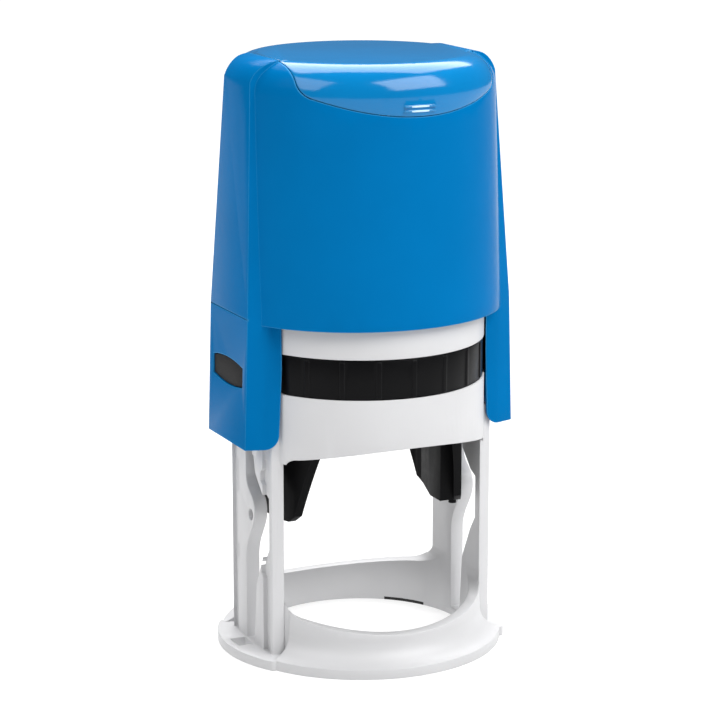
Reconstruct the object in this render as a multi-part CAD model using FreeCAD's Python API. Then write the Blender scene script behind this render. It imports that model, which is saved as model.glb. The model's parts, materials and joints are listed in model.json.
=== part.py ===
import FreeCAD, Part
import math
import os

# Self inking stamp for a round 40 mm class imprint, standing on its base ring.
# Frame: millimetres, origin at the centre of the base underside, +Z up, +X to the right,
# -Y towards the front. Every part is drawn at rest, with the cap up.

V = FreeCAD.Vector
UP = V(0, 0, 1)
ALONG_X = V(1, 0, 0)

# --- driving dimensions ---------------------------------------------------------------
TRAVEL = 38.0             # how far the cap is pressed down
DIE_ABOVE_AXLE = 7.5      # printing face above the axle at rest
PRINT_GAP = 0.2           # printing face above the paper, fully pressed
AXLE_Z = TRAVEL + DIE_ABOVE_AXLE + PRINT_GAP

BORE_R = 21.4             # inside of the base ring and of the collar
BASE_R = 27.6             # flared foot of the base ring
BASE_EDGE = 1.9           # thickness of the foot at its edge
WALL_R = 23.3             # base ring wall above the foot
EAR_X = 28.8              # half width and half depth of the oval of the side ears
EAR_OVAL_Y = 26.6
EAR_HALF_Y = 13.5
EAR_CORNER_R = 0.8
LEG_INNER_X = 21.0
LEG_R = 25.3              # outside of the leg flanges
LEG_PLATE_X = 23.7        # outside of the slotted plate
LEG_CHANNEL_X = 22.85     # floor of the channels beside the plate
LEG_PLATE_HALF_Y = 6.35
LEG_FLANGE_Y = 9.2
LEG_CORNER = (23.3, 9.9)
LEG_FRONT = (21.0, 10.3)
LEG_FLAT_X = 24.5         # round flat in the flare at the foot of each leg
LEG_FLAT_R = 12.2
SLOT_HALF_Y = 1.95
LATCH_HOLE_R = 1.15       # small round hole in the bulge of the slotted plate
LATCH_HOLE_YZ = (-0.4, 27.6)
FOOT_HOLE_X = (24.1, 27.3)
FOOT_HOLE_HALF_Y = 2.2
FAR_OUT = 30.0            # further out than any part, for cutting tools

COLLAR_R = 24.0
COLLAR_TOP = 53.55
WINDOW_SIDE_Z = 41.3      # underside of the collar beside the legs
WINDOW_MID_Z = 43.9       # and at its middle
RIM_MID_Z = 7.2           # top of the base ring at its middle
RIM_SIDE_Z = 9.1

TRAY_R = 23.7
TRAY_TOP = 61.1
TRAY_PLATE_Z = 56.3
TRAY_SIDE_X = 19.9
TRAY_FRONT_X = 20.8       # narrow enough to slide out between the skirts
TRAY_STEP_Y = -8.2
RIB_COUNT = 9
RIB_PITCH_DEG = 16.7
RIB_HALF_W = 0.45
RIB_PROUD = 0.2
FELT_R = 19.0
FELT_FACE_Z = 55.9
FELT_TOP_Z = 60.4

RING_R = 23.9             # upper frame ring, the band seen above the ink tray
RING_STEP_Z = 68.0
RING_UPPER_R = 23.3
RING_TOP = 73.5
DECK_Z = 61.3
DECK_TOP = 64.0
SPIGOT_H = 5.5            # spigot that centres the return spring
DECK_HOLE_R = 2.4         # six holes that lighten the deck
DECK_HOLES_AT_R = 15.0

CAP_LOW_Z = 67.0          # lower edge of the cap body
CAP_SHOULDER_Z = 110.0
CAP_TOP = 116.0
CAP_LOW_A = 27.5          # half width and half depth of the cap body at its lower edge
CAP_LOW_B = 25.5
CAP_HIGH_R = 25.6
SHOULDER_R = 6.0
COVER_T = 1.5
CARD_R = 17.0
CARD_T = 0.3
COVER_HALF_X = 19.9
COVER_MID_Z = 106.8       # lowest point of the cover's front tongue
COVER_END = (18.0, 110.0)
GRIP_Z = (107.75, 108.6)  # two fine ridges on the tongue
GRIP_HALF_X = 3.1
CEILING_Z = 112.0
SKIRT_Z = 43.0
SKIRT_X = 28.4            # outer face of the skirts at their foot
SKIRT_SEAM_X = 27.65      # and at the seam where the cap body starts
SKIRT_HALF_Y = 9.2
SKIRT_BEND = (24.5, 10.5)
SKIRT_LIP_Y = 11.25
SKIRT_LIP_X = 22.1        # inner edge of the lip at its foot and at its top
SKIRT_LIP_TOP_X = 21.1
SKIRT_FILLET_R = 2.8
SKIRT_REACH_Y = 15.0      # further front and back than any skirt, for cutting tools
SKIRT_CLEAR_R = 25.6
SKIRT_CLEAR_Y = 10.5
SEAM_Z = 68.1
SEAM_HALF_H = 0.12
PANEL_IN_X = 17.0
PANEL_SHOULDER_X = 25.85
PANEL_TOP_X = 25.3
PANEL_TOP_HALF_Y = 6.0
CAVITY_LOW = (26.4, 24.3)  # half width and half depth of the hollow at the cap's lower edge
CAVITY_HIGH_R = 24.7
CAVITY_HIGH_Z = 106.0
CEILING_R = 23.75

BUTTON_Z = 56.6
BUTTON_HALF_Y = 7.4
BUTTON_END_H = 1.9
BUTTON_MID_H = 2.7
BUTTON_GAP = 0.15
BUTTON_IN_X = 20.0        # where the tool that cuts the button's outline starts
FLANGE_X = (25.3, 26.15)
FLANGE_HALF_Y = 8.2
FLANGE_HALF_Z = 4.4
CLAW_IN_X = 24.65
CLAW_Y = 7.75
BUTTON_FACE_X = 27.75

BOW_IN_X = 20.15
BOW_OUT_X = 20.8
BOW_HALF_Y = 4.0
BOW_TOP_Z = 111.9
BRIDGE_T = 1.0
PIN_R = 1.5
PIN_IN_X = 15.6
PIN_CLEAR = 0.05
SPRING_R = 7.0
SPRING_WIRE = 0.8
SPRING_TURNS = 6.5
SPRING_TOP = 109.4

PLATEN_R = 19.8
CHEEK_T = 1.4
CHEEK_FOOT_Z = 27.2
CHEEK_FOOT_HALF_Y = 8.2   # the cheeks narrow downwards
CHEEK_TOP_HALF_Y = 13.7
BLOCK_IN_X = 14.0         # block inside each cheek, round the axle pin
BLOCK_Y = (-7.0, 1.5)
DIE_R = 19.5
PLATE_TOP = AXLE_Z + 2.9
DIE_PLATE_TOP = AXLE_Z + 4.3
FOAM_TOP = AXLE_Z + 5.3
RELIEF_H = 0.8

FOOT_H = 0.6
FOOT_START_DEG = 28.0
FOOT_SPAN_DEG = 24.0


# --- helpers --------------------------------------------------------------------------
def box(x0, x1, y0, y1, z0, z1):
    return Part.makeBox(x1 - x0, y1 - y0, z1 - z0, V(x0, y0, z0))


def post(radius, z0, z1, x=0.0, y=0.0):
    return Part.makeCylinder(radius, z1 - z0, V(x, y, z0), UP)


def rod(radius, x0, x1, y, z):
    return Part.makeCylinder(radius, x1 - x0, V(x0, y, z), ALONG_X)


def ring(outer, inner, z0, z1):
    return post(outer, z0, z1).cut(post(inner, z0 - 1, z1 + 1))


def line(a, b):
    return Part.LineSegment(a, b).toShape()


def arc(a, b, c):
    return Part.Arc(a, b, c).toShape()


def extrude(edges, direction):
    return Part.Face(Part.Wire(edges)).extrude(direction)


def polygon(points):
    return Part.makePolygon(points + points[:1])


def prism_z(points, z0, z1):
    wire = polygon([V(x, y, z0) for x, y in points])
    return Part.Face(wire).extrude(V(0, 0, z1 - z0))


def prism_x(points, x0, x1):
    wire = polygon([V(x0, y, z) for y, z in points])
    return Part.Face(wire).extrude(V(x1 - x0, 0, 0))


def revolve(edges):
    return Part.Face(Part.Wire(edges)).revolve(V(0, 0, 0), UP, 360)


def ellipse_wire(a, b, z):
    major, minor = (V(1, 0, 0), V(0, 1, 0)) if a >= b else (V(0, 1, 0), V(-1, 0, 0))
    curve = Part.Ellipse(V(0, 0, z) + major * max(a, b), V(0, 0, z) + minor * min(a, b),
                         V(0, 0, z))
    return Part.Wire([curve.toShape()])


def flip_x(shape):
    return shape.mirror(V(0, 0, 0), ALONG_X)


def both_sides(shape):
    return [shape, flip_x(shape)]


def half_turn(shape):
    turned = shape.copy()
    turned.rotate(V(0, 0, 0), UP, 180)
    return turned


def fuse(shapes):
    return shapes[0].multiFuse(shapes[1:]).removeSplitter()


def export(name, shape):
    shape.exportStep(os.path.join("parts", name + ".step"))


# --- lower frame ----------------------------------------------------------------------
def base_ring():
    """The flared ring that the stamp stands on, with its concave outer face."""
    top = RIM_SIDE_Z + 4.0
    corners = [V(BORE_R, 0, 0), V(BASE_R, 0, 0), V(BASE_R, 0, BASE_EDGE)]
    foot_in = V(WALL_R + 0.4, 0, 6.6)
    flare = V(WALL_R + 1.5, 0, 3.3)
    edges = [
        line(corners[0], corners[1]),
        line(corners[1], corners[2]),
        arc(corners[2], flare, foot_in),
        line(foot_in, V(WALL_R, 0, top)),
        line(V(WALL_R, 0, top), V(BORE_R, 0, top)),
        line(V(BORE_R, 0, top), corners[0]),
    ]
    return revolve(edges)


def side_ears():
    """Shallow oval lobes that widen the foot under the legs."""
    lobe = Part.Face(ellipse_wire(EAR_X, EAR_OVAL_Y, 0)).extrude(V(0, 0, BASE_EDGE))
    lobe = lobe.common(box(-FAR_OUT, FAR_OUT, -EAR_HALF_Y, EAR_HALF_Y, 0, BASE_EDGE))
    corners = [e for e in lobe.Edges if abs(e.tangentAt(e.FirstParameter).z) > 0.9
               and abs(e.CenterOfMass.y) > EAR_HALF_Y - 0.1]
    return lobe.makeFillet(EAR_CORNER_R, corners).cut(post(BORE_R, -1, BASE_EDGE + 1))


def leg_flat():
    """Tool that clears the flare round the foot of the right leg."""
    high = RIM_SIDE_Z + 5.0
    return post(LEG_FLAT_R, BASE_EDGE, high, x=LEG_FLAT_X).cut(post(WALL_R, 0, high + 1))


def leg_outline():
    cx, cy = LEG_CORNER
    fx, fy = LEG_FRONT
    half = [(fx, fy), (cx, cy), (LEG_R + 1, LEG_FLANGE_Y - 1)]
    return half + [(x, -y) for x, y in reversed(half)]


def leg():
    """Right leg: slotted plate, a channel each side of it, and curved flanges."""
    low, high = 1.0, COLLAR_TOP
    body = prism_z(leg_outline(), low, high).common(post(LEG_R, low, high))
    body = body.cut(box(LEG_PLATE_X, FAR_OUT, -LEG_PLATE_HALF_Y, LEG_PLATE_HALF_Y,
                        BASE_EDGE, high + 1))
    for side in (-1, 1):
        y0, y1 = sorted((side * LEG_PLATE_HALF_Y, side * LEG_FLANGE_Y))
        body = body.cut(box(LEG_CHANNEL_X, FAR_OUT, y0, y1, BASE_EDGE, high + 1))
    return body


def slot_outline():
    """Track in the leg plate: straight above and below, with a jog towards the front."""
    h = SLOT_HALF_Y
    x = LEG_INNER_X - 1
    top = V(x, 0, 50 + h)
    rear = [V(x, h, 50), V(x, h, 35.5), V(x, -2.3, 28.6), V(x, h, 18.5), V(x, h, BASE_EDGE)]
    front = [V(x, -h, BASE_EDGE), V(x, -3.0, 14.0), V(x, -6.35, 20.6), V(x, -8.4, 23.6)]
    upper = [V(x, -8.4, 32.0), V(x, -6.35, 33.0), V(x, -2.8, 36.6), V(x, -h, 40), V(x, -h, 50)]
    bulge_high = Part.BezierCurve()
    bulge_high.setPoles([rear[1], V(x, h, 31.6), V(x, -2.3, 32.2), rear[2]])
    bulge_low = Part.BezierCurve()
    bulge_low.setPoles([rear[2], V(x, -2.3, 25.2), V(x, h, 22.6), rear[3]])
    edges = [
        arc(upper[4], top, rear[0]),
        line(rear[0], rear[1]),
        bulge_high.toShape(),
        bulge_low.toShape(),
        line(rear[3], rear[4]),
        line(rear[4], front[0]),
    ]
    chain = front + upper
    return edges + [line(a, b) for a, b in zip(chain, chain[1:])]


def plate_notches():
    """Latch notches in the long edges of the slotted plate."""
    outside = LEG_PLATE_X + 2
    cuts = []
    for y_edge, depth, z0, z1 in ((1, 1.1, 30.6, 37.6), (1, 0.9, 17.0, 20.2),
                                  (-1, 0.9, 35.2, 38.0), (-1, 0.9, 16.9, 19.8)):
        inner = y_edge * (LEG_PLATE_HALF_Y - depth)
        outer = y_edge * (LEG_PLATE_HALF_Y + 0.5)
        points = [(outer, z0 - 0.6), (inner, z0 + 0.5), (inner, z1 - 0.5), (outer, z1 + 0.6)]
        cuts.append(prism_x(points, LEG_CHANNEL_X, outside))
    return cuts


def window():
    """Opening between the legs, from the ring's rim to the collar, through front and back."""
    y0 = -35.0
    side = LEG_INNER_X
    low_l, low_r = V(-17.6, y0, RIM_SIDE_Z), V(17.6, y0, RIM_SIDE_Z)
    high_l, high_r = V(-19.4, y0, WINDOW_SIDE_Z), V(19.4, y0, WINDOW_SIDE_Z)
    foot_l, foot_r = V(-side, y0, 13.0), V(side, y0, 13.0)
    head_l, head_r = V(-side, y0, 39.6), V(side, y0, 39.6)
    edges = [
        arc(low_l, V(0, y0, RIM_MID_Z), low_r),
        arc(low_r, V(20.1, y0, 10.5), foot_r),
        line(foot_r, head_r),
        arc(head_r, V(20.55, y0, 40.8), high_r),
        arc(high_r, V(0, y0, WINDOW_MID_Z), high_l),
        arc(high_l, V(-20.55, y0, 40.8), head_l),
        line(head_l, foot_l),
        arc(foot_l, V(-20.1, y0, 10.5), low_l),
    ]
    return extrude(edges, V(0, 70, 0))


def foot_pad(start_deg):
    """Rubber foot under the base ring, a sector that starts at start_deg."""
    sector = ring(BASE_R - 1.2, BORE_R, 0, FOOT_H)
    a0 = math.radians(start_deg)
    a1 = math.radians(start_deg + FOOT_SPAN_DEG)
    reach = 2 * BASE_R
    wedge = [(0, 0), (reach * math.cos(a0), reach * math.sin(a0)),
             (reach * math.cos(a1), reach * math.sin(a1))]
    return sector.common(prism_z(wedge, -1, FOOT_H + 1))


FOOT_STARTS = {
    "foot_pad_rear_right": FOOT_START_DEG,
    "foot_pad_rear_left": 180 - FOOT_START_DEG - FOOT_SPAN_DEG,
    "foot_pad_front_left": 180 + FOOT_START_DEG,
    "foot_pad_front_right": 360 - FOOT_START_DEG - FOOT_SPAN_DEG,
}


def tray_columns():
    """Posts beside the ink tray that carry the upper frame."""
    rear = 10.0
    column = box(BOW_OUT_X + 0.35, FAR_OUT, TRAY_STEP_Y + 0.6, rear, COLLAR_TOP - 0.1, DECK_Z)
    return column.common(post(COLLAR_R - 0.4, COLLAR_TOP - 1, DECK_Z + 1))


def base_frame():
    collar_low = WINDOW_SIDE_Z - 1.3
    foot = base_ring().cut(leg_flat()).cut(flip_x(leg_flat()))
    tube = fuse([foot, side_ears(), ring(COLLAR_R, BORE_R, collar_low, COLLAR_TOP)])
    tube = tube.cut(window())
    legs = fuse([leg(), flip_x(leg())])
    slot = extrude(slot_outline(), V(LEG_R - LEG_INNER_X + 4, 0, 0))
    foot_hole = box(*FOOT_HOLE_X, -FOOT_HOLE_HALF_Y, FOOT_HOLE_HALF_Y, -1, BASE_EDGE + 1)
    latch_hole = rod(LATCH_HOLE_R, LEG_INNER_X - 1, FAR_OUT, *LATCH_HOLE_YZ)
    cuts = [slot, foot_hole, latch_hole] + plate_notches()
    cuts = cuts + [flip_x(c) for c in cuts]
    # behind the skirts the legs are turned down, so that the tapered cap can pass
    cuts.append(ring(FAR_OUT, COLLAR_R, SKIRT_Z + 4, COLLAR_TOP + 1))
    cuts += [foot_pad(start) for start in FOOT_STARTS.values()]
    frame = tube.multiFuse([legs] + both_sides(tray_columns()))
    for tool in cuts:
        frame = frame.cut(tool)
    return frame


# --- upper frame ----------------------------------------------------------------------
def upper_frame():
    """Ring above the ink tray with the deck that seats the return spring."""
    outer = fuse([ring(RING_R, BORE_R, DECK_Z, RING_STEP_Z),
                  ring(RING_UPPER_R, BORE_R - 0.9, RING_STEP_Z - 0.5, RING_TOP)])
    deck = post(BORE_R + 0.5, DECK_Z, DECK_TOP)
    spigot = ring(SPRING_R - 1.2, SPRING_R - 2.6, DECK_TOP - 0.5, DECK_TOP + SPIGOT_H)
    wall = ring(SPRING_R + 3.0, SPRING_R + 1.8, DECK_TOP - 0.5, DECK_TOP + SPIGOT_H / 2)
    body = fuse([outer, deck, spigot, wall])
    arm_slot = box(BOW_IN_X - 0.3, BOW_OUT_X + 0.3, -BOW_HALF_Y - 0.4, BOW_HALF_Y + 0.4,
                   DECK_Z - 1, RING_TOP + 1)
    for cut in both_sides(arm_slot):
        body = body.cut(cut)
    for angle in range(30, 390, 60):
        hole = post(DECK_HOLE_R, DECK_Z - 1, DECK_TOP + 1, DECK_HOLES_AT_R)
        hole.rotate(V(0, 0, 0), UP, angle)
        body = body.cut(hole)
    return body


# --- ink cartridge --------------------------------------------------------------------
def ink_tray():
    """Tray that holds the felt face down, with a ribbed grip at its front and back."""
    front = post(TRAY_R, COLLAR_TOP, TRAY_TOP).common(
        box(-TRAY_FRONT_X, TRAY_FRONT_X, -FAR_OUT, TRAY_STEP_Y, COLLAR_TOP, TRAY_TOP))
    rear = post(TRAY_R, COLLAR_TOP, TRAY_TOP).common(
        box(-TRAY_SIDE_X, TRAY_SIDE_X, TRAY_STEP_Y - 1, FAR_OUT, COLLAR_TOP, TRAY_TOP))
    body = fuse([front, rear])
    body = body.cut(post(BORE_R - 0.2, COLLAR_TOP - 1, TRAY_PLATE_Z))
    body = body.cut(post(FELT_R, TRAY_PLATE_Z - 1, FELT_TOP_Z))
    ribs = []
    for i in range(RIB_COUNT):
        rib = box(-RIB_HALF_W, RIB_HALF_W, -TRAY_R - RIB_PROUD, -TRAY_R + 0.6,
                  COLLAR_TOP + 0.3, TRAY_TOP - 0.3)
        rib.rotate(V(0, 0, 0), UP, (i - (RIB_COUNT - 1) / 2) * RIB_PITCH_DEG)
        reach = abs(rib.CenterOfMass.x)
        if reach < BORE_R - 0.5:
            ribs.append(rib)
        if reach < TRAY_SIDE_X - 1:
            ribs.append(half_turn(rib))
    return fuse([body] + ribs)


def ink_felt():
    return post(FELT_R, FELT_FACE_Z, FELT_TOP_Z)


# --- cap ------------------------------------------------------------------------------
def circle_wire(r, z):
    return Part.Wire([Part.Circle(V(0, 0, z), UP, r).toShape()])


def cap_form(inset=0.0):
    """Solid of the cap body: an oval that tapers to a circle, with a round shoulder."""
    low = ellipse_wire(CAP_LOW_A - inset, CAP_LOW_B - inset, CAP_LOW_Z)
    high = circle_wire(CAP_HIGH_R - inset, CAP_SHOULDER_Z)
    flank = Part.makeLoft([low, high], True, True)
    r = CAP_HIGH_R - inset
    rho = SHOULDER_R - inset
    z = CAP_SHOULDER_Z
    bend = math.sqrt(0.5) * rho
    edges = [
        line(V(0, 0, z), V(r, 0, z)),
        arc(V(r, 0, z), V(r - rho + bend, 0, z + bend), V(r - rho, 0, z + rho)),
        line(V(r - rho, 0, z + rho), V(0, 0, z + rho)),
        line(V(0, 0, z + rho), V(0, 0, z)),
    ]
    return fuse([flank, revolve(edges)])


def side_panel_outline(x, half_y, z):
    bend_x = x - (SKIRT_SEAM_X - SKIRT_BEND[0])
    bend_y = half_y + (SKIRT_BEND[1] - SKIRT_HALF_Y)
    points = [(x, half_y), (bend_x, bend_y), (PANEL_IN_X, bend_y), (PANEL_IN_X, -bend_y),
              (bend_x, -bend_y), (x, -half_y)]
    return polygon([V(px, py, z) for px, py in points])


def side_panels():
    """Flat panels that stand proud of the cap body on its left and right."""
    low = side_panel_outline(SKIRT_SEAM_X, SKIRT_HALF_Y, SEAM_Z)
    high = side_panel_outline(PANEL_TOP_X, PANEL_TOP_HALF_Y, CAP_TOP)
    panel = Part.makeLoft([low, high], True, True)
    low_part = Part.Face(side_panel_outline(SKIRT_SEAM_X, SKIRT_HALF_Y, CAP_LOW_Z))
    panel = panel.fuse(low_part.extrude(V(0, 0, SEAM_Z - CAP_LOW_Z)))
    z = CAP_SHOULDER_Z
    r = PANEL_SHOULDER_X
    flat = r - SHOULDER_R
    bend = math.sqrt(0.5) * SHOULDER_R
    y0 = -SKIRT_REACH_Y
    feet = [V(-SKIRT_X, y0, SKIRT_Z), V(SKIRT_X, y0, SKIRT_Z)]
    seams = [V(-SKIRT_SEAM_X, y0, SEAM_Z), V(SKIRT_SEAM_X, y0, SEAM_Z)]
    edges = [
        line(feet[0], feet[1]),
        line(feet[1], seams[1]),
        line(seams[1], V(r, y0, z)),
        arc(V(r, y0, z), V(flat + bend, y0, z + bend), V(flat, y0, CAP_TOP)),
        line(V(flat, y0, CAP_TOP), V(-flat, y0, CAP_TOP)),
        arc(V(-flat, y0, CAP_TOP), V(-flat - bend, y0, z + bend), V(-r, y0, z)),
        line(V(-r, y0, z), seams[0]),
        line(seams[0], feet[0]),
    ]
    profile = extrude(edges, V(0, 2 * SKIRT_REACH_Y, 0))
    return [half.common(profile) for half in both_sides(panel)]


def skirt():
    """Right skirt: runs down outside the leg and laps round its front and rear corners."""
    rings = []
    for x, z in ((SKIRT_X, SKIRT_Z), (SKIRT_SEAM_X, SEAM_Z)):
        half = [(SKIRT_LIP_TOP_X, SKIRT_LIP_Y), SKIRT_BEND, (x, SKIRT_HALF_Y)]
        outline = half + [(px, -py) for px, py in reversed(half)]
        rings.append(polygon([V(px, py, z) for px, py in outline]))
    body = Part.makeLoft(rings, True, True)
    fillet = SKIRT_FILLET_R
    c = fillet * (1 - math.sqrt(0.5))
    y0 = -SKIRT_REACH_Y
    lip = SKIRT_LIP_X
    corner = [V(lip + fillet, y0, SKIRT_Z), V(lip + c, y0, SKIRT_Z + c),
              V(lip, y0, SKIRT_Z + fillet)]
    lip_top = V(SKIRT_LIP_TOP_X, y0, CAP_LOW_Z + 1)
    edges = [
        arc(corner[0], corner[1], corner[2]),
        line(corner[2], lip_top),
        line(lip_top, V(SKIRT_X + 1, y0, CAP_LOW_Z + 1)),
        line(V(SKIRT_X + 1, y0, CAP_LOW_Z + 1), V(SKIRT_X + 1, y0, SKIRT_Z)),
        line(V(SKIRT_X + 1, y0, SKIRT_Z), corner[0]),
    ]
    body = body.common(extrude(edges, V(0, 2 * SKIRT_REACH_Y, 0)))
    clear = post(SKIRT_CLEAR_R, SKIRT_Z - 1, CAP_LOW_Z + 2)
    clear = clear.common(box(0, FAR_OUT, -SKIRT_CLEAR_Y, SKIRT_CLEAR_Y, SKIRT_Z - 1, CAP_LOW_Z + 2))
    return body.cut(clear).cut(post(COLLAR_R + 0.25, SKIRT_Z - 1, CAP_LOW_Z + 2))


def cap_cavity():
    low = ellipse_wire(*CAVITY_LOW, CAP_LOW_Z - 0.01)
    mid = circle_wire(CAVITY_HIGH_R, CAVITY_HIGH_Z)
    bottom = Part.makeLoft([low, mid], True, True)
    top = Part.makeCone(CAVITY_HIGH_R, CEILING_R, CEILING_Z - CAVITY_HIGH_Z,
                        V(0, 0, CAVITY_HIGH_Z), UP)
    return fuse([bottom, top])


def cover_region(grow=0.0):
    """Outline of the snap-on cover seen from the front, drawn through the cap."""
    y0 = -40.0
    x = COVER_HALF_X + grow
    ex, ez = COVER_END
    bend = 1.3
    left, right = V(-ex, y0, ez - grow), V(ex, y0, ez - grow)
    top = CAP_TOP + 3
    edges = [
        arc(left, V(0, y0, COVER_MID_Z - grow), right),
        arc(right, V(x - 0.35, y0, ez + bend - grow), V(x, y0, ez + 2.6)),
        line(V(x, y0, ez + 2.6), V(x, y0, top)),
        line(V(x, y0, top), V(-x, y0, top)),
        line(V(-x, y0, top), V(-x, y0, ez + 2.6)),
        arc(V(-x, y0, ez + 2.6), V(-x + 0.35, y0, ez + bend - grow), left),
    ]
    return extrude(edges, V(0, 80, 0))


def button_outline(gap=0.0):
    x = BUTTON_IN_X
    y = BUTTON_HALF_Y - gap
    end = BUTTON_END_H - gap
    mid = BUTTON_MID_H - gap
    z = BUTTON_Z
    return [
        arc(V(x, -y, z + end), V(x, 0, z + mid), V(x, y, z + end)),
        line(V(x, y, z + end), V(x, y, z - end)),
        arc(V(x, y, z - end), V(x, 0, z - mid), V(x, -y, z - end)),
        line(V(x, -y, z - end), V(x, -y, z + end)),
    ]


def cap_shell():
    outer = fuse([cap_form()] + side_panels() + both_sides(skirt()))
    recess = cover_region(BUTTON_GAP).cut(cap_form(COVER_T + 0.05))
    card_well = post(CARD_R + 0.2, CAP_TOP - COVER_T - CARD_T - 0.15, CAP_TOP + 1)
    groove = box(SKIRT_SEAM_X - 0.3, SKIRT_X, -SKIRT_HALF_Y, SKIRT_HALF_Y,
                 SEAM_Z - SEAM_HALF_H, SEAM_Z + SEAM_HALF_H)
    deep = 0.4
    pocket = box(CLAW_IN_X - 1, FLANGE_X[1] + 0.15, -FLANGE_HALF_Y - deep, FLANGE_HALF_Y + deep,
                 BUTTON_Z - FLANGE_HALF_Z - deep, BUTTON_Z + FLANGE_HALF_Z + deep)
    hole = extrude(button_outline(), V(FAR_OUT - BUTTON_IN_X, 0, 0))
    shell = outer.cut(cap_cavity())
    for tool in [recess, card_well] + both_sides(groove) + both_sides(pocket) + both_sides(hole):
        shell = shell.cut(tool)
    return shell.removeSplitter()


def top_cover():
    """Glossy snap-on cover over the label, with a tongue down the front and the back."""
    cover = fuse([cap_form()] + side_panels()).common(cover_region())
    cover = cover.cut(cap_form(COVER_T))
    grips = []
    for z in GRIP_Z:
        grip = box(-GRIP_HALF_X, GRIP_HALF_X, -CAP_HIGH_R - 0.2, -CAP_HIGH_R + 0.6, z - 0.15, z + 0.15)
        grips += [grip, half_turn(grip)]
    return fuse([cover] + grips)


def label_card():
    top = CAP_TOP - COVER_T - 0.1
    return post(CARD_R, top - CARD_T, top)


# --- mechanism carried by the cap -----------------------------------------------------
def drive_bow():
    """U-shaped steel strip: its arms reach down inside the legs and carry the platen axle."""
    arm = box(BOW_IN_X, BOW_OUT_X, -BOW_HALF_Y, BOW_HALF_Y, AXLE_Z - 2.6, BOW_TOP_Z)
    arm = arm.cut(rod(PIN_R, BOW_IN_X - 1, BOW_OUT_X + 1, 0, AXLE_Z))
    bridge = box(-BOW_OUT_X, BOW_OUT_X, -BOW_HALF_Y, BOW_HALF_Y, BOW_TOP_Z - BRIDGE_T, BOW_TOP_Z)
    return fuse([bridge] + both_sides(arm))


def axle_pin():
    return rod(PIN_R, PIN_IN_X, BOW_OUT_X, 0, AXLE_Z)


def spring_seat():
    """Cup under the bow that centres the top of the return spring."""
    flange = post(SPRING_R + 2.0, SPRING_TOP, BOW_TOP_Z - BRIDGE_T)
    return fuse([flange, ring(SPRING_R - 1.2, SPRING_R - 2.6, SPRING_TOP - 0.9, SPRING_TOP + 0.2)])


def return_spring():
    low = DECK_TOP + SPRING_WIRE / 2
    length = SPRING_TOP - DECK_TOP - SPRING_WIRE
    helix = Part.makeHelix(length / SPRING_TURNS, length, SPRING_R)
    profile = Part.Wire([Part.Circle(V(SPRING_R, 0, 0), V(0, 1, 0), SPRING_WIRE / 2).toShape()])
    coil = Part.Wire(helix.Edges).makePipeShell([profile], True, True)
    coil.translate(V(0, 0, low))
    return coil


# --- platen ---------------------------------------------------------------------------
def cheek():
    """Right cheek of the platen carrier: a curved wall that narrows down, with a block inside."""
    top = AXLE_Z + 0.9
    foot = CHEEK_FOOT_Z
    corner = 1.3
    half = [(CHEEK_FOOT_HALF_Y - corner, foot), (CHEEK_FOOT_HALF_Y + 0.2, foot + corner),
            (CHEEK_TOP_HALF_Y, top)]
    outline = half + [(-y, z) for y, z in reversed(half)]
    wall = ring(PLATEN_R, PLATEN_R - CHEEK_T, foot - 1, top + 1)
    wall = wall.common(prism_x(outline, PLATEN_R * 0.5, PLATEN_R + 1))
    front, rear = BLOCK_Y
    low = foot + 0.2
    block_side = [(front, top), (front, low), (front + 4.5, low), (rear, low + 2.2), (rear, top)]
    block = prism_x(block_side, BLOCK_IN_X, PLATEN_R)
    block = block.cut(box(BLOCK_IN_X + 1.2, PLATEN_R, front + 1.2, rear - 1.2, low + 3.4, top - 4.5))
    tooth = post(0.8, low - 1.0, low + 1.0, PLATEN_R - 2.4, front + 1.4)
    inside = post(PLATEN_R - 0.2, foot - 2, top + 1)
    return fuse([wall, block.fuse(tooth).common(inside)])


def platen_carrier():
    plate = post(PLATEN_R, AXLE_Z + 0.6, PLATE_TOP)
    rib_half = BLOCK_Y[1]
    rib = box(-BLOCK_IN_X, BLOCK_IN_X, -rib_half, rib_half, AXLE_Z - 2.2, AXLE_Z + 0.8)
    body = fuse([plate, cheek(), half_turn(cheek()), rib])
    for bore in both_sides(rod(PIN_R + PIN_CLEAR, PIN_IN_X - 0.1, FAR_OUT, 0, AXLE_Z)):
        body = body.cut(bore)
    return body


def die_plate():
    return post(PLATEN_R - 0.1, PLATE_TOP, DIE_PLATE_TOP)


def die_foam():
    return post(DIE_R, DIE_PLATE_TOP, FOAM_TOP)


def rubber_die():
    """Blank rubber die: a border, an inner ring and plain bars as its relief."""
    face = AXLE_Z + DIE_ABOVE_AXLE
    relief = face - RELIEF_H
    parts = [post(DIE_R, FOAM_TOP, relief)]
    for outer, inner in ((18.9, 18.1), (13.2, 12.7)):
        parts.append(ring(outer, inner, relief - 0.1, face))
    for y, half in ((3.6, 8.0), (0.0, 10.0), (-3.6, 8.0)):
        parts.append(box(-half, half, y - 0.6, y + 0.6, relief - 0.1, face))
    return fuse(parts)


def lock_button():
    """Right lock button: a curved face, a flange behind it and two latch claws."""
    low, high = BUTTON_Z - FLANGE_HALF_Z, BUTTON_Z + FLANGE_HALF_Z
    stem = extrude(button_outline(BUTTON_GAP), V(FAR_OUT - BUTTON_IN_X, 0, 0))
    stem = stem.common(box(FLANGE_X[1] - 0.25, BUTTON_FACE_X, -BUTTON_HALF_Y, BUTTON_HALF_Y, low, high))
    flange = box(*FLANGE_X, -FLANGE_HALF_Y, FLANGE_HALF_Y, low, high)
    claws = [box(CLAW_IN_X, FLANGE_X[0] + 0.2, y - 0.4, y + 0.4, BUTTON_Z - 3, BUTTON_Z + 1)
             for y in (-CLAW_Y, CLAW_Y)]
    return fuse([stem, flange] + claws)


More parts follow.
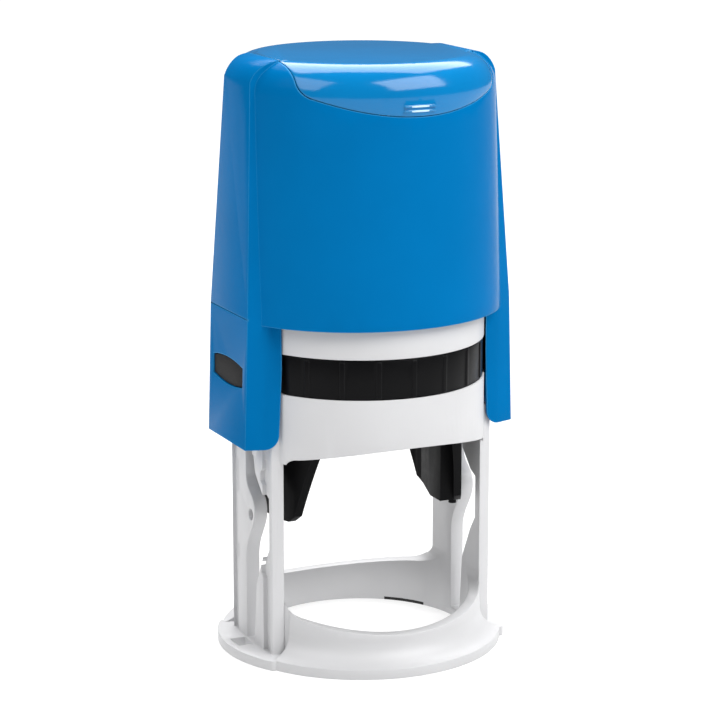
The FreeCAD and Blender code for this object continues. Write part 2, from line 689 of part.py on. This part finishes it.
def main():
    os.makedirs("parts", exist_ok=True)
    export("base_frame", base_frame())
    export("upper_frame", upper_frame())
    export("ink_tray", ink_tray())
    export("ink_felt", ink_felt())
    for name, start in FOOT_STARTS.items():
        export(name, foot_pad(start))
    export("cap_shell", cap_shell())
    export("top_cover", top_cover())
    export("label_card", label_card())
    export("drive_bow", drive_bow())
    export("axle_pin_right", axle_pin())
    export("axle_pin_left", flip_x(axle_pin()))
    export("spring_seat", spring_seat())
    export("return_spring", return_spring())
    export("platen_carrier", platen_carrier())
    export("die_plate", die_plate())
    export("die_foam", die_foam())
    export("rubber_die", rubber_die())
    export("lock_button_right", lock_button())
    export("lock_button_left", flip_x(lock_button()))


main()
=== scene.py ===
import json
import math

import bmesh
import bpy
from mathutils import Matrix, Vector


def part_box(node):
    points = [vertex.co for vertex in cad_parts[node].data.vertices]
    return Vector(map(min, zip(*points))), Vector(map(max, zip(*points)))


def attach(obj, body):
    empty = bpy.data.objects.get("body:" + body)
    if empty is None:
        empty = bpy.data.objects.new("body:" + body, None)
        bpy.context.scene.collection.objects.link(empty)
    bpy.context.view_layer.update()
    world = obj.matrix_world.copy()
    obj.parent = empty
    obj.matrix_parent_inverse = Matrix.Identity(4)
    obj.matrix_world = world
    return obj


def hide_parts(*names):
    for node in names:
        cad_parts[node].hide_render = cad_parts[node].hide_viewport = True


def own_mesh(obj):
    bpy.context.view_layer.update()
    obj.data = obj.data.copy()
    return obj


# Looks of a round self inking stamp. Metres, origin at the centre of the base underside,
# +Z up, +X to the stamp's right, -Y to its front.

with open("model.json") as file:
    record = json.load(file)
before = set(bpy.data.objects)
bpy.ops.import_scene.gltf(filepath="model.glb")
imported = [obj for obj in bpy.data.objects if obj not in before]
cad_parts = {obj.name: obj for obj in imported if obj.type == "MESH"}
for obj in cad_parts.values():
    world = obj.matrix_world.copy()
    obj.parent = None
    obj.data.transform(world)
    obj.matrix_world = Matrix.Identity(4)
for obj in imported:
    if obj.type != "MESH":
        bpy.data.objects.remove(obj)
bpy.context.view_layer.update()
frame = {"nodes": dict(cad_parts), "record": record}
NODES = frame["nodes"]
MM = 0.001
BEVEL_SAMPLES = 6
EDGE_COSINES = (0.80, 0.985)    # full edge and flat face, as seen by the edge mask


# --- shader building blocks -------------------------------------------------------------
class Shader:
    """A material with one Principled BSDF, and short calls for the nodes that feed it."""

    def __init__(self, name, roughness, metallic=0.0, ior=1.46, specular=0.5):
        self.material = bpy.data.materials.new(name)
        self.material.use_nodes = True
        self.nodes = self.material.node_tree.nodes
        self.links = self.material.node_tree.links
        self.bsdf = self.nodes["Principled BSDF"]
        self.set("Roughness", roughness)
        self.set("Metallic", metallic)
        self.set("IOR", ior)
        self.set("Specular IOR Level", specular)
        self.place = self.nodes.new("ShaderNodeTexCoord").outputs["Object"]

    def set(self, socket, value):
        self.bsdf.inputs[socket].default_value = value

    def feed(self, output, socket):
        self.links.new(output, self.bsdf.inputs[socket])

    def stretched(self, scale):
        """Object coordinates scaled by a vector, so that noise can run along one axis."""
        mapping = self.nodes.new("ShaderNodeMapping")
        mapping.inputs["Scale"].default_value = scale
        self.links.new(self.place, mapping.inputs["Vector"])
        return mapping.outputs["Vector"]

    def noise(self, size, detail=3.0, rough=0.5, place=None):
        """Noise whose blotches are about size metres wide."""
        node = self.nodes.new("ShaderNodeTexNoise")
        node.inputs["Scale"].default_value = 1.0 / size
        node.inputs["Detail"].default_value = detail
        node.inputs["Roughness"].default_value = rough
        self.links.new(place or self.place, node.inputs["Vector"])
        return node.outputs["Fac"]

    def cells(self, size):
        """Distance to the middle of cells that are about size metres wide."""
        node = self.nodes.new("ShaderNodeTexVoronoi")
        node.inputs["Scale"].default_value = 1.0 / size
        self.links.new(self.place, node.inputs["Vector"])
        return node.outputs["Distance"]

    def ramp(self, value, stops):
        """Colour ramp over value, from a list of (position, colour)."""
        node = self.nodes.new("ShaderNodeValToRGB")
        elements = node.color_ramp.elements
        while len(elements) < len(stops):
            elements.new(0.5)
        for element, (position, colour) in zip(elements, stops):
            element.position = position
            element.color = (*colour, 1.0)
        self.links.new(value, node.inputs["Fac"])
        return node.outputs["Color"]

    def remap(self, value, low, high, source=(0.3, 0.7)):
        """Value taken from the source range to the range from low to high."""
        node = self.nodes.new("ShaderNodeMapRange")
        node.inputs["From Min"].default_value = source[0]
        node.inputs["From Max"].default_value = source[1]
        node.inputs["To Min"].default_value = low
        node.inputs["To Max"].default_value = high
        self.links.new(value, node.inputs["Value"])
        return node.outputs["Result"]

    def mix(self, factor, a, b):
        """Colour a where factor is 0 and b where it is 1. Each is a colour or an output."""
        node = self.nodes.new("ShaderNodeMix")
        node.data_type = "RGBA"
        self.links.new(factor, node.inputs["Factor"])
        for socket, value in ((node.inputs[6], a), (node.inputs[7], b)):
            if isinstance(value, tuple):
                socket.default_value = (*value, 1.0)
            else:
                self.links.new(value, socket)
        return node.outputs[2]

    def soft_edges(self, radius):
        """Normal that rounds sharp edges over radius metres."""
        node = self.nodes.new("ShaderNodeBevel")
        node.samples = BEVEL_SAMPLES
        node.inputs["Radius"].default_value = radius
        return node.outputs["Normal"]

    def edge_mask(self, radius):
        """1 on an edge and 0 on a flat face: where the rounded normal leaves the true one."""
        dot = self.nodes.new("ShaderNodeVectorMath")
        dot.operation = "DOT_PRODUCT"
        self.links.new(self.soft_edges(radius), dot.inputs[0])
        geometry = self.nodes.new("ShaderNodeNewGeometry")
        self.links.new(geometry.outputs["Normal"], dot.inputs[1])
        return self.remap(dot.outputs["Value"], 1.0, 0.0, source=EDGE_COSINES)

    def bump(self, layers, normal=None):
        """Chain of bumps from (height, depth in metres), over an optional first normal."""
        for height, depth in layers:
            node = self.nodes.new("ShaderNodeBump")
            node.inputs["Strength"].default_value = 1.0
            node.inputs["Distance"].default_value = depth
            self.links.new(height, node.inputs["Height"])
            if normal is not None:
                self.links.new(normal, node.inputs["Normal"])
            normal = node.outputs["Normal"]
        if normal is not None:
            self.feed(normal, "Normal")


def shade(colour, factor):
    return tuple(min(1.0, c * factor) for c in colour)


def moulded_plastic(name, colour, roughness, grain=0.35 * MM, depth=0.004 * MM, spread=0.06,
                    edge=None, edge_radius=0.25 * MM, haze=0.05, specular=0.5):
    """Moulded plastic: faint colour haze, fine grain, scuffed roughness, softened edges, and a
    painted highlight that lightens sharp edges towards edge.
    """
    s = Shader(name, roughness, specular=specular)
    tone = s.noise(14 * MM, detail=4.0)
    base = s.ramp(tone, [(0.3, shade(colour, 1 - haze)), (0.7, shade(colour, 1 + haze))])
    # painted highlight: sharp edges are mixed towards the lighter edge colour
    if edge is not None:
        base = s.mix(s.remap(s.edge_mask(edge_radius), 0.0, 0.6, source=(0.0, 1.0)), base, edge)
    s.feed(base, "Base Color")
    scuff = s.noise(2.5 * MM, detail=6.0, rough=0.7)
    s.feed(s.remap(scuff, roughness - spread, roughness + spread), "Roughness")
    s.bump([(s.noise(grain, detail=2.0), depth)], s.soft_edges(edge_radius))
    return s.material


def glossy_plastic(name, colour, roughness, edge, edge_radius=0.3 * MM, specular=0.12):
    """Glossy moulded plastic with flow haze, fine handling scratches, a clear top gloss and a
    painted highlight that lightens its edges towards edge.
    """
    s = Shader(name, roughness, ior=1.5, specular=specular)
    tone = s.noise(22 * MM, detail=3.0)
    base = s.ramp(tone, [(0.3, shade(colour, 0.95)), (0.7, shade(colour, 1.05))])
    # painted highlight: sharp edges are mixed towards the lighter edge colour
    edge_highlight = s.remap(s.edge_mask(edge_radius), 0.0, 0.6, source=(0.0, 1.0))
    s.feed(s.mix(edge_highlight, base, edge), "Base Color")
    scratches = s.noise(0.5 * MM, detail=5.0, rough=0.8, place=s.stretched((1.0, 1.0, 0.12)))
    s.feed(s.remap(scratches, roughness * 0.75, roughness * 1.5), "Roughness")
    ripple = s.noise(9 * MM, detail=1.0)
    s.bump([(ripple, 0.012 * MM), (scratches, 0.0006 * MM)], s.soft_edges(edge_radius))
    return s.material


def grained_plastic(name, colour):
    """Dark plastic with an eroded, leathery press texture."""
    s = Shader(name, 0.62, specular=0.15)
    grain = s.noise(0.22 * MM, detail=4.0, rough=0.65)
    s.feed(s.ramp(grain, [(0.35, shade(colour, 0.55)), (0.65, shade(colour, 1.35))]), "Base Color")
    s.feed(s.remap(grain, 0.72, 0.5), "Roughness")
    s.bump([(grain, 0.03 * MM)], s.soft_edges(0.2 * MM))
    return s.material


def brushed_metal(name, colour, roughness, along):
    """Metal with fine lines that run along one axis."""
    s = Shader(name, roughness, metallic=1.0)
    scale = [1.0, 1.0, 1.0]
    scale["xyz".index(along)] = 0.04
    lines = s.noise(0.12 * MM, detail=3.0, place=s.stretched(tuple(scale)))
    tarnish = s.noise(6 * MM, detail=5.0, rough=0.6)
    s.feed(s.ramp(tarnish, [(0.35, shade(colour, 0.82)), (0.65, colour)]), "Base Color")
    s.feed(s.remap(lines, roughness - 0.08, roughness + 0.1), "Roughness")
    s.bump([(lines, 0.004 * MM)], s.soft_edges(0.1 * MM))
    return s.material


def felt_cloth(name, colour):
    """Ink soaked felt: matted fibres with wetter and drier patches."""
    s = Shader(name, 0.85)
    fibres = s.noise(0.16 * MM, detail=6.0, rough=0.75)
    patches = s.noise(6 * MM, detail=3.0)
    base = s.ramp(patches, [(0.35, shade(colour, 0.6)), (0.7, shade(colour, 1.5))])
    s.feed(s.mix(s.remap(fibres, 0.0, 0.5), base, shade(colour, 2.2)), "Base Color")
    s.feed(s.remap(patches, 0.5, 0.92), "Roughness")
    s.set("Sheen Weight", 0.3)
    s.bump([(fibres, 0.12 * MM)])
    return s.material


def foam_sheet(name, colour):
    s = Shader(name, 0.9)
    pores = s.cells(0.35 * MM)
    # pore hollows are coloured darker: painted shade in the pores
    s.feed(s.ramp(pores, [(0.1, shade(colour, 0.72)), (0.5, colour)]), "Base Color")
    s.bump([(pores, 0.06 * MM)])
    return s.material


def rubber(name, colour, depth=0.01 * MM):
    """Rubber with a dusty bloom and fine pitting."""
    s = Shader(name, 0.7)
    bloom = s.noise(3 * MM, detail=5.0, rough=0.6)
    s.feed(s.ramp(bloom, [(0.3, shade(colour, 0.8)), (0.75, shade(colour, 1.3))]), "Base Color")
    s.feed(s.remap(bloom, 0.6, 0.8), "Roughness")
    s.bump([(s.noise(0.1 * MM, detail=3.0), depth)], s.soft_edges(0.12 * MM))
    return s.material


def paper_card(name, colour):
    s = Shader(name, 0.75)
    fibres = s.noise(0.3 * MM, detail=6.0, rough=0.7)
    s.feed(s.ramp(fibres, [(0.3, shade(colour, 0.94)), (0.7, colour)]), "Base Color")
    s.bump([(fibres, 0.006 * MM)])
    return s.material


BLUE = (0.0, 0.142, 0.385)
# lighter blue painted on the blue plastics' sharp edges as a painted highlight
BLUE_EDGE_HIGHLIGHT = (0.08, 0.42, 0.78)
GREY_WHITE = (0.60, 0.60, 0.61)
BLACK = (0.004, 0.004, 0.0045)
# lighter black painted on the black plastics' sharp edges as a painted highlight
BLACK_EDGE_HIGHLIGHT = (0.03, 0.03, 0.033)

# each edge colour below is lighter than its plastic: a painted highlight along sharp edges
MATERIALS = {
    "frame_plastic": moulded_plastic("frame_plastic", GREY_WHITE, 0.42, haze=0.02,
                                     edge=(0.72, 0.72, 0.73)),
    "tray_plastic": moulded_plastic("tray_plastic", BLACK, 0.34, specular=0.09,
                                    edge=BLACK_EDGE_HIGHLIGHT, haze=0.15),
    "platen_plastic": moulded_plastic("platen_plastic", BLACK, 0.42, specular=0.07,
                                      depth=0.01 * MM, edge=BLACK_EDGE_HIGHLIGHT, haze=0.15),
    "plate_plastic": moulded_plastic("plate_plastic", (0.04, 0.04, 0.045), 0.5, haze=0.1),
    "cap_plastic": glossy_plastic("cap_plastic", BLUE, 0.17, BLUE_EDGE_HIGHLIGHT, edge_radius=0.4 * MM,
                                  specular=0.012),
    # cover blue is lighter than the cap's BLUE: painted light, a lit copy of the same blue plastic
    "cover_plastic": glossy_plastic("cover_plastic", (0.0, 0.175, 0.44), 0.12, BLUE_EDGE_HIGHLIGHT,
                                    specular=0.4),
    "button_plastic": grained_plastic("button_plastic", (0.015, 0.0145, 0.015)),
    "felt": felt_cloth("felt", (0.02, 0.02, 0.04)),
    "foot_rubber": rubber("foot_rubber", (0.02, 0.02, 0.02)),
    "card": paper_card("card", (0.86, 0.86, 0.83)),
    "bow_steel": brushed_metal("bow_steel", (0.62, 0.62, 0.64), 0.32, "z"),
    "pin_steel": brushed_metal("pin_steel", (0.66, 0.66, 0.68), 0.25, "x"),
    "spring_wire": brushed_metal("spring_wire", (0.5, 0.51, 0.53), 0.3, "x"),
    "foam": foam_sheet("foam", (0.62, 0.58, 0.46)),
    "die_rubber": rubber("die_rubber", (0.32, 0.05, 0.035), depth=0.02 * MM),
    # near-white ridge colour and its lighter edge colour: painted highlight on the cover's ridges
    "grip_ridge": glossy_plastic("grip_ridge", (0.55, 0.78, 0.92), 0.2, (0.8, 0.9, 0.97)),
}
SLOT_OF = {row["node"]: row["material_slot"] for row in frame["record"]["subparts"]}
BODY_OF = {node: body for body, members in frame["record"]["behaviour"]["bodies"].items()
           for node in members}


# --- mesh building blocks -----------------------------------------------------------------
def add_object(name, mesh, material):
    piece = bpy.data.objects.new(name, mesh)
    bpy.context.scene.collection.objects.link(piece)
    mesh.materials.clear()
    mesh.materials.append(material)
    return piece


def mesh_from(bm, name, smooth_deg=30.0):
    bmesh.ops.recalc_face_normals(bm, faces=bm.faces)
    mesh = bpy.data.meshes.new(name)
    bm.to_mesh(mesh)
    bm.free()
    finish_shading(mesh, smooth_deg)
    return mesh


def skin(bm, loops):
    """Closed skin over a row of vertex loops."""
    for a, b in zip(loops, loops[1:]):
        for k in range(len(a)):
            m = (k + 1) % len(a)
            bm.faces.new((a[k], a[m], b[m], b[k]))
    bm.faces.new(loops[0])
    bm.faces.new(list(reversed(loops[-1])))


def finish_shading(mesh, smooth_deg=30.0):
    mesh.polygons.foreach_set("use_smooth", [True] * len(mesh.polygons))
    mesh.set_sharp_from_angle(angle=math.radians(smooth_deg))


def baked(piece):
    """Apply the piece's modifiers to its mesh."""
    bpy.context.view_layer.update()
    graph = bpy.context.evaluated_depsgraph_get()
    mesh = bpy.data.meshes.new_from_object(piece.evaluated_get(graph))
    piece.modifiers.clear()
    piece.data = mesh
    finish_shading(mesh)
    return piece


def place(piece, body, slot, *replaced):
    """Join a piece to the body it rides. The slot argument is not used."""
    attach(piece, body)
    if replaced:
        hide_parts(*replaced)
    return piece


WELD = 2e-6                     # joins the CAD mesh's double vertices
FLAT_DEG = 0.4                  # faces closer than this in angle are one flat face
ROUND_DEG = 32.0                # edges sharper than this are rounded


def rounded(node, width):
    """Copy of a rigid node with its flat faces joined and its sharp edges really rounded."""
    mesh = NODES[node].data.copy()
    bm = bmesh.new()
    bm.from_mesh(mesh)
    bmesh.ops.remove_doubles(bm, verts=bm.verts, dist=WELD)
    bmesh.ops.dissolve_degenerate(bm, edges=bm.edges, dist=WELD)
    bmesh.ops.dissolve_limit(bm, angle_limit=math.radians(FLAT_DEG), verts=bm.verts,
                             edges=bm.edges)
    bm.to_mesh(mesh)
    bm.free()
    slot = SLOT_OF[node]
    piece = add_object(node + "_moulding", mesh, MATERIALS[slot])
    bevel = piece.modifiers.new("round", "BEVEL")
    bevel.width = width
    bevel.segments = 2
    bevel.limit_method = "ANGLE"
    bevel.angle_limit = math.radians(ROUND_DEG)
    bevel.use_clamp_overlap = True
    bevel.miter_outer = "MITER_ARC"
    baked(piece)
    return place(piece, BODY_OF[node], slot, node)


def paint(node):
    """Give a node that keeps its own mesh its material."""
    mesh = NODES[node].data
    mesh.materials.clear()
    mesh.materials.append(MATERIALS[SLOT_OF[node]])
    finish_shading(mesh)


# --- return spring ------------------------------------------------------------------------
def return_spring():
    """Compression spring: close end turns, an open middle, round wire."""
    low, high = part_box("return_spring")
    wire = 0.4 * MM
    radius = 7.0 * MM
    turns, dead = 9.5, 1.25
    steps_per_turn, sides = 40, 10
    closed_pitch = 0.24         # rise of the end turns, as a share of the open turns' rise
    z0 = low.z + wire
    height = high.z - low.z - 2 * wire
    count = int(turns * steps_per_turn)
    rise = []
    total = 0.0
    for i in range(count + 1):
        turn = i / steps_per_turn
        open_part = min(turn, turns - turn) > dead
        rise.append(total)
        total += (1.0 if open_part else closed_pitch)
    bm = bmesh.new()
    rings = []
    for i, step in enumerate(rise):
        angle = 2 * math.pi * i / steps_per_turn
        out = Vector((math.cos(angle), math.sin(angle), 0.0))
        centre = out * radius + Vector((0, 0, z0 + height * step / rise[-1]))
        ring = []
        for k in range(sides):
            turn = 2 * math.pi * k / sides
            offset = out * math.cos(turn) + Vector((0, 0, math.sin(turn)))
            ring.append(bm.verts.new(centre + offset * wire))
        rings.append(ring)
    skin(bm, rings)
    piece = add_object("return_coil", mesh_from(bm, "return_coil", 60), MATERIALS["spring_wire"])
    place(piece, "frame", "spring_wire", "return_spring")
    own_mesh(piece)


# --- cover ridges -------------------------------------------------------------------------
RIDGE_LEVELS = (("low", 107.75 * MM), ("high", 108.6 * MM))
# ridge section: distance out from the tongue in millimetres, height as a share of half the ridge
RIDGE_SECTION = ((-0.7, -1), (-0.7, 1), (-0.02, 1), (0.04, 0.6), (0.04, -0.6), (-0.02, -1))


def ridge_mesh(name, facing, z):
    """One ridge: its section swept round the tongue, with tapered ends."""
    radius = 25.6 * MM + 0.22 * MM
    half_width = 3.1 * MM
    half_height = 0.16 * MM
    steps = 16
    bm = bmesh.new()
    loops = []
    for i in range(steps + 1):
        t = 2 * i / steps - 1
        angle = t * half_width / radius
        taper = math.sqrt(max(0.0, 1 - t ** 8))
        out = Vector((math.sin(angle), facing * math.cos(angle), 0))
        loop = []
        for dr, dz in RIDGE_SECTION:
            height = dz * half_height * max(taper, 0.05)
            point = out * (radius + dr * MM) + Vector((0, 0, z + height))
            loop.append(bm.verts.new(point))
        loops.append(loop)
    skin(bm, loops)
    return mesh_from(bm, name)


def cover_ridges():
    """Two thin raised lines at the middle of the cover's front and back tongues, coloured
    near-white as a painted highlight.
    """
    for side, facing in (("front", -1), ("rear", 1)):
        for level, z in RIDGE_LEVELS:
            name = f"cover_ridge_{side}_{level}"
            piece = add_object(name, ridge_mesh(name, facing, z), MATERIALS["grip_ridge"])
            place(piece, "cover", "cover_plastic")


# --- stage --------------------------------------------------------------------------------
def floor():
    """Pale paper floor with a faint glow."""
    size = 4.0
    bm = bmesh.new()
    corners = [(-size, -size), (size, -size), (size, size), (-size, size)]
    bm.faces.new([bm.verts.new((x, y, 0.0)) for x, y in corners])
    s = Shader("floor_paper", 0.9, specular=0.1)
    tone = s.noise(0.4, detail=2.0)
    s.feed(s.ramp(tone, [(0.3, (0.30, 0.30, 0.30)), (0.7, (0.32, 0.32, 0.32))]), "Base Color")
    s.set("Emission Color", (1.0, 1.0, 1.0, 1.0))
    # brighter from 0.3 m to 1.3 m away, so that the far floor is white
    reach = s.nodes.new("ShaderNodeVectorMath")
    reach.operation = "LENGTH"
    s.links.new(s.place, reach.inputs[0])
    glow = s.remap(reach.outputs["Value"], 0.72, 1.02, source=(0.3, 1.3))
    s.feed(glow, "Emission Strength")
    plane = add_object("floor", mesh_from(bm, "floor"), s.material)


def area_light(name, place_at, aim, size, power):
    data = bpy.data.lights.new(name, "AREA")
    data.shape = "RECTANGLE"
    data.size, data.size_y = size
    data.energy = power
    lamp = bpy.data.objects.new(name, data)
    bpy.context.scene.collection.objects.link(lamp)
    lamp.location = place_at
    lamp.rotation_euler = (Vector(aim) - Vector(place_at)).to_track_quat("-Z", "Y").to_euler()


def lighting():
    """Large soft key at the front right, a weaker one on the left, one above and behind."""
    middle = (0.0, 0.0, 0.06)
    area_light("key_right", (0.33, -0.58, 0.72), middle, (0.80, 0.60), 9.8)
    area_light("side_left", (-0.64, -0.06, 0.62), middle, (0.6, 0.5), 3.1)
    area_light("top_rear", (0.15, 0.32, 0.64), (0.0, 0.0, 0.10), (0.75, 0.62), 8.5)
    world = bpy.data.worlds.new("studio")
    bpy.context.scene.world = world
    world.use_nodes = True
    world.node_tree.nodes["Background"].inputs["Color"].default_value = (1, 1, 1, 1)
    world.node_tree.nodes["Background"].inputs["Strength"].default_value = 0.10


def camera():
    """Seen from the front left, slightly from above."""
    azimuth, tilt = math.radians(24.92), math.radians(13.13)
    distance = 506.7 * MM
    aim = Vector((0.5, 1.5, 55.5)) * MM
    ahead = Vector((math.sin(azimuth) * math.cos(tilt), math.cos(azimuth) * math.cos(tilt),
                    -math.sin(tilt)))
    data = bpy.data.cameras.new("camera")
    data.sensor_width = 36.0
    data.lens = 129.5
    data.clip_start = 0.01
    eye = bpy.data.objects.new("camera", data)
    bpy.context.scene.collection.objects.link(eye)
    eye.location = aim - ahead * distance
    eye.rotation_euler = ahead.to_track_quat("-Z", "Y").to_euler()
    bpy.context.scene.camera = eye


bpy.context.scene.view_settings.view_transform = "Standard"
camera()
lighting()
floor()
ROUNDED = {"base_frame": 0.22, "upper_frame": 0.2, "ink_tray": 0.1, "cap_shell": 0.3,
           "top_cover": 0.2, "platen_carrier": 0.2, "lock_button_right": 0.15,
           "lock_button_left": 0.15, "drive_bow": 0.08, "spring_seat": 0.15, "die_plate": 0.15,
           "axle_pin_right": 0.2, "axle_pin_left": 0.2}
for name, width in ROUNDED.items():
    rounded(name, width * MM)
for name in sorted(NODES):
    if name not in ROUNDED and name != "return_spring":
        paint(name)
return_spring()
cover_ridges()
